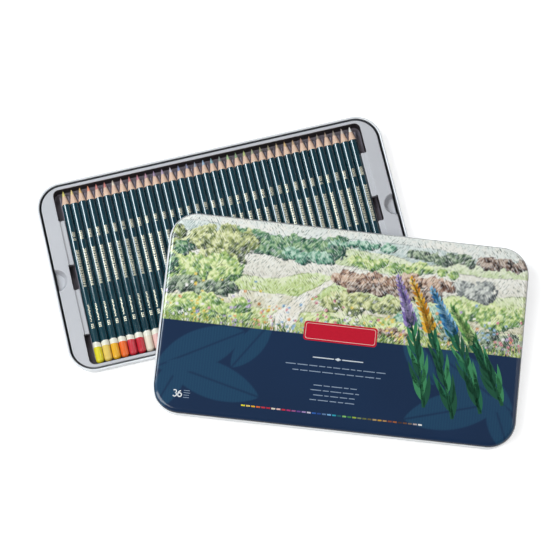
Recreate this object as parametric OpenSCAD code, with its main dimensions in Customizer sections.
// Colored pencil tin, open, with its pencils in one layer and the lid laid askew over its front right corner.
// The origin is the centre of the tin's underside. +X runs to the right, +Y to the pencils' points, +Z up.

/* [Pencils] */
// Number of pencils in the row
pencil_count = 36; // [30:1:40]
// Length of a sharpened pencil
pencil_l = 176; // [150:1:190]
// Diameter of a lacquered barrel
pencil_d = 7.8; // [7:0.1:9]
// Diameter of the pigment core
core_d = 3.4; // [2.5:0.1:4.5]
// Length of the sharpened cone, with the point
cone_l = 14.6; // [12:0.1:20]
// Diameter of the blunted point
point_d = 0.6; // [0.4:0.1:1.2]
// Glue line between the casing and the core
glue_t = 0.05; // [0.02:0.01:0.1]
// Length of the dipped end, with its ring
dip_l = 19.5; // [12:0.5:30]
// Thickness of the dipped coat over the lacquer
dip_t = 0.05; // [0.03:0.01:0.1]
// Radius of the rounded butt
butt_r = 1.6; // [0.8:0.1:2.5]
// Thickness of the butt's coat behind the core
butt_coat_t = 0.4; // [0.3:0.05:0.8]

/* [Pencil bed] */
// Free space between two barrels
barrel_gap = 0.4; // [0.35:0.05:1]
// Free space all round a barrel in its groove
groove_gap = 0.3; // [0.3:0.05:0.6]
// Height of a groove's lowest line over the foot of the insert
groove_rise = 6.6; // [4:0.1:9]
// Height of the ridges between the grooves
ridge_h = 2.3; // [1.5:0.1:2.8]
// Width of the finger wells beside the row
well_w = 6.1; // [5.5:0.1:9]
// Free space between a pencil's end and the wall of the bay
end_gap = 1; // [0.5:0.1:3]
// Width of the trough across each end of the grooves
trough_w = 6; // [4:0.5:10]
// Corner radius of the bay
bay_corner_r = 6; // [3:0.5:8]
// Width of the bed's lip under the flange
bed_lip_w = 1.6; // [1:0.1:2]

/* [Insert frame] */
// Thickness of the formed plastic sheet
sheet_t = 0.8; // [0.5:0.05:0.9]
// Width of the flange at the left and right
flange_side_w = 14.7; // [14:0.1:20]
// Width of the flange at the front and back
flange_end_w = 3.2; // [3.2:0.1:8]
// Height of the flange over the top of the barrels
flange_over = 1.1; // [0.8:0.1:3]
// Radius of the flange's outer edge
flange_edge_r = 1.2; // [1.1:0.1:1.2]
// Radius of a thumb scoop at the flange
scoop_r = 11; // [9:0.5:11.5]
// Radius of a thumb scoop at its floor
scoop_floor_r = 8; // [6:0.5:8.5]
// Depth of a thumb scoop
scoop_depth = 7; // [4:0.5:9]
// Depth of the ledges below the flange
ledge_depth = 2.5; // [1.5:0.1:3.5]
// Length of the finger well at the middle of each side
mid_well_l = 25; // [18:1:34]
// Length of the finger wells at the corners
corner_well_l = 31; // [22:1:36]

/* [Tin] */
// Thickness of the tinplate
plate_t = 0.4; // [0.3:0.05:0.6]
// Free space between the insert and the wall of the tin
insert_gap = 1.4; // [0.8:0.1:2.5]
// Diameter of the rolled rim
bead_d = 2.4; // [2:0.1:3]
// Height of the rim over the flange
rim_over = 1; // [0.5:0.1:2]
// Corner radius over the rolled rim
tin_corner_r = 26; // [20:0.5:30]
// Radius at the foot of the wall
foot_r = 2; // [1.5:0.5:3]
// Free space under a piece that rests on another
rest_gap = 0.3; // [0.3:0.05:0.5]

/* [Lid] */
// Free space between the rim and the lid's hem
lid_gap = 0.5; // [0.3:0.1:1]
// Height of the lid over its hem
lid_h = 16; // [12:0.5:17]
// Radius of the shoulder round the top
shoulder_r = 5.5; // [3:0.5:7]
// Height of the folded hem
hem_h = 2.5; // [1.5:0.1:4]
// Turn of the lid seen from above
lid_turn = -19.4; // [-22:0.2:-16]
// Distance of the lid's centre from the right side of the tin
lid_from_right = 85.3; // [75:0.5:95]
// Distance of the lid's centre in front of the tin
lid_from_front = 15.7; // [8:0.5:25]

/* [Hidden] */
$fn = 96;
// Small overlap that joins the pieces of one solid
eps = 0.1;

pitch = pencil_d + barrel_gap;
row_half = (pencil_count - 1) * pitch / 2;
pencil_r = pencil_d / 2;
groove_r = pencil_r + groove_gap;

bay_x = row_half + pencil_r + well_w;
bay_y = pencil_l / 2 + end_gap;
insert_x = bay_x + flange_side_w;
insert_y = bay_y + flange_end_w;
insert_r = tin_corner_r - bead_d - insert_gap;
tin_x = insert_x + insert_gap + bead_d;
tin_y = insert_y + insert_gap + bead_d;

insert_z = plate_t + rest_gap;
axis_z = insert_z + groove_rise + groove_r;
ridge_z = insert_z + groove_rise + ridge_h;
flange_z = axis_z + pencil_r + flange_over;
rim_z = flange_z + rim_over;
ledge_z = flange_z - ledge_depth;
scoop_z = flange_z - scoop_depth;

// Half the width of the grooved part of the bed, where the last groove's outer wall reaches the ridges' height
sheet_r = groove_r + sheet_t;
bed_x = row_half + sqrt(pow(sheet_r, 2) - pow(axis_z - ridge_z, 2));
bed_y = bay_y - trough_w;
ledge_x = row_half + pencil_r + barrel_gap;
ledge_l = bay_y - corner_well_l - mid_well_l / 2;

wall_x = tin_x - bead_d + plate_t;
wall_y = tin_y - bead_d + plate_t;
wall_r = tin_corner_r - bead_d + plate_t;
lid_out = lid_gap + 2 * plate_t;
lid_x = tin_x + lid_out;
lid_y = tin_y + lid_out;
lid_r = tin_corner_r + lid_out;

// The lid's slant, from the three places that carry it: its left wall on the front rim, its back wall on the right
// rim, and its front right corner on the table
lid_centre = [tin_x - lid_from_right, -tin_y - lid_from_front];
along = [cos(lid_turn), sin(lid_turn)];
across = [-sin(lid_turn), cos(lid_turn)];
left_wall = lid_centre - lid_x * along;
back_wall = lid_centre + lid_y * across;
front_seat = left_wall + across * (bead_d / 2 - tin_y - left_wall[1]) / across[1];
right_seat = back_wall + along * (tin_x - bead_d / 2 - back_wall[0]) / along[0];
seat_run = (right_seat - front_seat) / norm(right_seat - front_seat);
downhill = [seat_run[1], -seat_run[0]];
corner_mid = lid_centre + (lid_x - lid_r) * along - (lid_y - lid_r) * across;
reach = (corner_mid - front_seat) * downhill + lid_r;
seat_z = rim_z + rest_gap;
lid_slant = asin((seat_z - rest_gap) / reach);

function pencil_name(i) = str("pencil_", i < 10 ? "0" : "", i);

// Rounded rectangle from its half sizes and corner radius
module plate(x, y, r) {
    union() {
        square([2 * x, 2 * (y - r)], center = true);
        square([2 * (x - r), 2 * y], center = true);
        for (sx = [-1, 1], sy = [-1, 1])
            translate([sx * (x - r), sy * (y - r)])
                circle(r);
    }
}

// Upright wall that follows a rounded rectangle, with its thickness inside the outline
module wall(x, y, r, t, h) {
    difference() {
        linear_extrude(h) plate(x, y, r);
        translate([0, 0, -eps]) linear_extrude(h + 2 * eps) plate(x - t, y - t, r - t);
    }
}

// Carries a section round a rounded rectangle. The section's x is 0 at the outline and grows outwards
module carried_round(x, y, r) {
    for (side = [0, 1]) {
        rotate(180 * side) {
            translate([x - r, y - r, 0]) {
                rotate([90, 0, 0]) linear_extrude(2 * (y - r)) translate([r, 0]) children();
                rotate_extrude(angle = 90) translate([r, 0]) children();
            }
            translate([-(x - r), y - r, 0]) {
                rotate([90, 0, 90]) linear_extrude(2 * (x - r)) translate([r, 0]) children();
                rotate(90) rotate_extrude(angle = 90) translate([r, 0]) children();
            }
        }
    }
}

// Quarter of a ring that turns a flat sheet into an upright one, with its outer corner at the origin, and a strip
// of the flat sheet
module bend(r, t) {
    intersection() {
        translate([-r, -r]) difference() {
            circle(r);
            circle(r - t);
        }
        translate([-r, -r]) square(r);
    }
    translate([-r - 2 * eps, -t]) square([2 * eps, t]);
}

// Outline of the flat sheet inside a bend, which laps over the bend's strip
module flat_inside(x, y, r, bend_r) {
    inset = bend_r + eps;
    plate(x - inset, y - inset, r - inset);
}

// Section of the tin's wall: the bend at its foot, the upright, and the rim rolled outwards
module tin_section() {
    foot = foot_r + plate_t;
    mirror([0, 1]) bend(foot, plate_t);
    translate([-plate_t, foot]) square([plate_t, rim_z - bead_d / 2 - foot]);
    translate([bead_d / 2 - plate_t, rim_z - bead_d / 2]) difference() {
        circle(d = bead_d);
        circle(d = bead_d - 2 * plate_t);
        translate([-bead_d, -bead_d]) square(bead_d);
    }
}

module tin_base() {
    foot = foot_r + plate_t;
    color("gainsboro") union() {
        linear_extrude(plate_t) flat_inside(wall_x, wall_y, wall_r, foot);
        carried_round(wall_x, wall_y, wall_r) tin_section();
    }
}

// Outer edge of the frame: the skirt and the bend into the flange
module frame_section() {
    translate([0, flange_z]) bend(flange_edge_r, sheet_t);
    translate([-sheet_t, insert_z]) square([sheet_t, flange_z - flange_edge_r - insert_z]);
}

// Hollow of one thumb scoop, grown by a margin for the shell round it
module scoop_hollow(margin) {
    translate([insert_x, 0, scoop_z - margin])
        cylinder(r1 = scoop_floor_r + margin, r2 = scoop_r + margin, h = scoop_depth + margin);
}

module scoop_shell() {
    intersection() {
        scoop_hollow(sheet_t);
        translate([0, 0, insert_z]) linear_extrude(flange_z - insert_z) plate(insert_x, insert_y, insert_r);
    }
}

// One ledge beside the row: an upturned tray that hangs from the flange on its outer wall
module ledge() {
    ledge_w = bay_x - ledge_x;
    translate([ledge_x, mid_well_l / 2, ridge_z]) difference() {
        cube([ledge_w, ledge_l, flange_z - ridge_z]);
        translate([sheet_t, sheet_t, -sheet_t])
            cube([ledge_w - 2 * sheet_t, ledge_l - 2 * sheet_t, ledge_z - ridge_z]);
        translate([-eps, -eps, ledge_z - ridge_z])
            cube([ledge_w - sheet_t + eps, ledge_l + 2 * eps, ledge_depth + eps]);
    }
    translate([bay_x - eps, mid_well_l / 2, flange_z - sheet_t])
        cube([2 * eps, ledge_l, sheet_t]);
}

module insert_frame() {
    color("silver") difference() {
        union() {
            carried_round(insert_x, insert_y, insert_r) frame_section();
            translate([0, 0, flange_z - sheet_t]) linear_extrude(sheet_t) difference() {
                flat_inside(insert_x, insert_y, insert_r, flange_edge_r);
                plate(bay_x, bay_y, bay_corner_r);
            }
            for (side = [0, 180]) rotate(side) scoop_shell();
            for (sx = [0, 1], sy = [0, 1])
                mirror([sx, 0, 0]) mirror([0, sy, 0]) ledge();
        }
        for (side = [0, 180])
            rotate(side) scoop_hollow(0);
    }
}

// Circles at the pencils' axes, as seen along the row
module row_circles(r) {
    for (i = [0:pencil_count - 1])
        translate([i * pitch - row_half, axis_z]) circle(r);
}

// Section of the grooved sheet and the uprights at its sides
module groove_section() {
    intersection() {
        difference() {
            union() {
                row_circles(sheet_r);
                for (x = [-bed_x, bed_x - sheet_t])
                    translate([x, insert_z]) square([sheet_t, ridge_z - insert_z]);
            }
            row_circles(groove_r);
        }
        translate([-bed_x, insert_z]) square([2 * bed_x, ridge_z - insert_z]);
    }
}

// Section of the walls that close the ends of the grooved sheet
module groove_end_section() {
    difference() {
        translate([-bed_x, insert_z]) square([2 * bed_x, ridge_z - insert_z]);
        row_circles(groove_r);
    }
}

module pencil_bed() {
    rim_top = flange_z - sheet_t;
    out_x = bay_x + sheet_t;
    out_y = bay_y + sheet_t;
    out_r = bay_corner_r + sheet_t;
    color("dimgray") union() {
        translate([0, 0, insert_z]) wall(out_x, out_y, out_r, sheet_t, rim_top - insert_z);
        translate([0, 0, rim_top - sheet_t])
            wall(bay_x + bed_lip_w, bay_y + bed_lip_w, bay_corner_r + bed_lip_w, bed_lip_w, sheet_t);
        translate([0, 0, insert_z]) linear_extrude(sheet_t) difference() {
            plate(out_x, out_y, out_r);
            square([2 * (bed_x - sheet_t), 2 * (bed_y - sheet_t)], center = true);
        }
        translate([0, bed_y, 0]) rotate([90, 0, 0]) linear_extrude(2 * bed_y) groove_section();
        for (y = [bed_y, sheet_t - bed_y])
            translate([0, y, 0]) rotate([90, 0, 0]) linear_extrude(sheet_t) groove_end_section();
    }
}

// Section of the lid's edge: the folded hem, the upright and the shoulder
module lid_section() {
    translate([0, lid_h]) bend(shoulder_r, plate_t);
    translate([-plate_t, 0]) square([plate_t, lid_h - shoulder_r]);
    translate([-2 * plate_t, plate_t]) square([plate_t + eps, hem_h - plate_t]);
    intersection() {
        translate([-plate_t, plate_t]) circle(plate_t);
        translate([-2 * plate_t, 0]) square([2 * plate_t, plate_t]);
    }
}

// The lid lies flat here, with its hem on z = 0
module lid_flat() {
    union() {
        carried_round(lid_x, lid_y, lid_r) lid_section();
        translate([0, 0, lid_h - plate_t]) linear_extrude(plate_t) flat_inside(lid_x, lid_y, lid_r, shoulder_r);
    }
}

module lid() {
    seat = [front_seat[0], front_seat[1], 0];
    color("midnightblue")
        translate([seat[0], seat[1], seat_z]) rotate(a = lid_slant, v = [seat_run[0], seat_run[1], 0])
            translate(-seat) translate([lid_centre[0], lid_centre[1], 0]) rotate(lid_turn) lid_flat();
}

// Half the section of a pencil's outside, from the butt at 0 to the point, with the cone cut at a given radius
function casing_outline(end_r) = let (
    cone_z = pencil_l - cone_l,
    slope = (pencil_r - point_d / 2) / cone_l,
    butt = pencil_r + dip_t - butt_r
) concat(
    [[0, 0]],
    [for (a = [-90:15:0]) [butt + butt_r * cos(a), butt_r + butt_r * sin(a)]],
    [[pencil_r + dip_t, dip_l], [pencil_r, dip_l], [pencil_r, cone_z]],
    [[end_r, cone_z + (pencil_r - end_r) / slope], [0, cone_z + (pencil_r - end_r) / slope]]
);

// The pigment core, pointed where it leaves the casing
module pencil_core() {
    slope = (pencil_r - point_d / 2) / cone_l;
    bare_z = pencil_l - (core_d / 2 - point_d / 2) / slope;
    rotate_extrude()
        polygon([
            [0, butt_coat_t],
            [core_d / 2, butt_coat_t],
            [core_d / 2, bare_z],
            [point_d / 2, pencil_l],
            [0, pencil_l]
        ]);
}

// One pencil, which lies along +Y with its butt to the front
module pencil(i) {
    color("darkslategray")
        translate([(i - 1) * pitch - row_half, -pencil_l / 2, axis_z]) rotate([-90, 0, 0]) {
            difference() {
                rotate_extrude() polygon(casing_outline(core_d / 2 + 2 * glue_t));
                translate([0, 0, butt_coat_t - glue_t]) cylinder(d = core_d + 2 * glue_t, h = pencil_l);
            }
            pencil_core();
        }
}

tin_base();
insert_frame();
pencil_bed();
lid();
for (i = [1:pencil_count])
    pencil(i);
